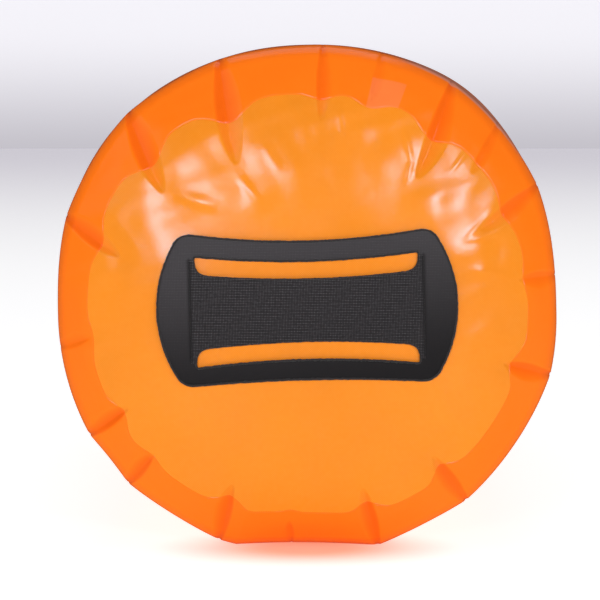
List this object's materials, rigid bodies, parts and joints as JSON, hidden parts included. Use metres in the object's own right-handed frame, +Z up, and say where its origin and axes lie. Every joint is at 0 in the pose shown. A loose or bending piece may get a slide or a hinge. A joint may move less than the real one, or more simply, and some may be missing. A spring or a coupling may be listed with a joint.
{
  "type": "roll-top dry bag",
  "caption": "Orange roll-top dry bag lying on its side, with a black welded grip on its round base and a rolled, buckled mouth that forms a carrying loop.",
  "frame": {"origin": "under the middle of the bag, on the surface that it lies on", "axes": "+Z up; the bag lies along Y, with its round base and grip at the -Y end and its rolled closure at the +Y end; +X is to the right as seen from the base"},
  "size_m": [0.2, 0.5146, 0.19],
  "materials": {
    "tube_cloth": "coated woven cloth, glossy and slightly see-through at the welded hem",
    "panel_cloth": "coated woven cloth, satin, with a fine diagonal weave",
    "seam_tape": "smooth film tape, satin",
    "grip_cloth": "coated black cloth, pressed smooth where it is welded and woven on the band",
    "strip_plastic": "flexible moulded strip",
    "webbing": "ribbed woven webbing, matte",
    "thread": "dense zigzag stitching",
    "buckle_plastic": "moulded acetal, fine satin texture"
  },
  "bodies": {
    "bag": {"body_shell": "tube_cloth", "base_panel": "panel_cloth", "side_seam_tape": "seam_tape", "handle_frame": "grip_cloth", "roll_centre": "tube_cloth", "stiffener_inner_centre": "strip_plastic", "stiffener_outer_centre": "strip_plastic"},
    "grip": {"handle_band": "grip_cloth"},
    "left_end": {"roll_left": "tube_cloth", "stiffener_inner_left": "strip_plastic", "stiffener_outer_left": "strip_plastic", "tab_left": "webbing", "bartack_left": "thread"},
    "right_end": {"roll_right": "tube_cloth", "stiffener_inner_right": "strip_plastic", "stiffener_outer_right": "strip_plastic", "tab_right": "webbing", "bartack_right": "thread"},
    "socket": {"buckle_socket": "buckle_plastic"},
    "plug": {"buckle_plug": "buckle_plastic"},
    "upper_prong": {"prong_upper": "buckle_plastic"},
    "lower_prong": {"prong_lower": "buckle_plastic"}
  },
  "joints": [
    {"name": "closure_right", "type": "hinge", "parent": "bag", "child": "right_end", "pos_m": [0.05449, 0.16435, 0.095], "axis": [0, 0, -1], "range_deg": [0, 20], "deforming": ["prong_upper", "prong_lower"]},
    {"name": "closure_left", "type": "hinge", "parent": "bag", "child": "left_end", "pos_m": [-0.05449, 0.16435, 0.095], "axis": [0, 0, 1], "range_deg": [0, 20]},
    {"name": "socket_swivel", "type": "hinge", "parent": "left_end", "child": "socket", "pos_m": [-0.0242, 0.25233, 0.095], "axis": [0, 0, -1], "range_deg": [0, 20]},
    {"name": "plug_swivel", "type": "hinge", "parent": "right_end", "child": "plug", "pos_m": [0.0242, 0.25233, 0.095], "axis": [0, 0, 1], "range_deg": [0, 20]},
    {"name": "prong_squeeze_upper", "type": "hinge", "parent": "plug", "child": "upper_prong", "pos_m": [0.0058, 0.25233, 0.102], "axis": [0, -1, 0], "range_deg": [0, 10], "stiffness_Nm_per_rad": 0.3},
    {"name": "prong_squeeze_lower", "type": "hinge", "parent": "plug", "child": "lower_prong", "pos_m": [0.0058, 0.25233, 0.088], "axis": [0, 1, 0], "range_deg": [0, 10]},
    {"name": "grip_lift", "type": "slide", "parent": "bag", "child": "grip", "axis": [0, -1, 0], "range_m": [0, 0.012], "stiffness_N_per_m": 150}
  ],
  "couplings": [
    {"joint": "closure_left", "follows": "closure_right", "ratio": 1},
    {"joint": "socket_swivel", "follows": "closure_right", "ratio": 1},
    {"joint": "plug_swivel", "follows": "closure_right", "ratio": 1},
    {"joint": "prong_squeeze_lower", "follows": "prong_squeeze_upper", "ratio": 1}
  ]
}
